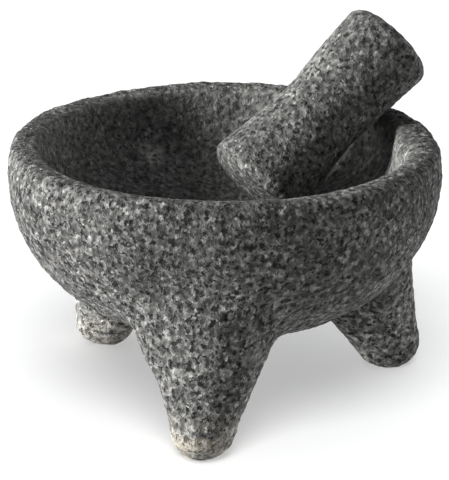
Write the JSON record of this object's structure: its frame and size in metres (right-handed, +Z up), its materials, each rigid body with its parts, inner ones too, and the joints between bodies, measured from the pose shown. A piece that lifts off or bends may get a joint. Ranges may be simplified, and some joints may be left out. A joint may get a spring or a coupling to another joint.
{
  "type": "molcajete",
  "caption": "Deep basalt mortar on short carved legs, with a loose waisted pestle leaning in its hollow, for grinding spices, chillies and salsa by hand.",
  "frame": {"origin": "on the ground, under the middle of the bowl", "axes": "+Z up through the bowl's mouth; -Y towards the front leg; +X towards the right, where the tejolote leans with the back"},
  "size_m": [0.2, 0.2, 0.1689],
  "materials": {
    "mortar_basalt": "rough pitted vesicular basalt, paler and a little brown at the feet",
    "tejolote_basalt": "rough pitted basalt, smoother than the mortar's wall"
  },
  "bodies": {
    "mortar": {"mortar": "mortar_basalt"},
    "tejolote": {"tejolote": "tejolote_basalt"}
  },
  "joints": [
    {"name": "tejolote_lift", "type": "slide", "parent": "mortar", "child": "tejolote", "axis": [0, 0, 1], "range_m": [0, 0.08]}
  ]
}
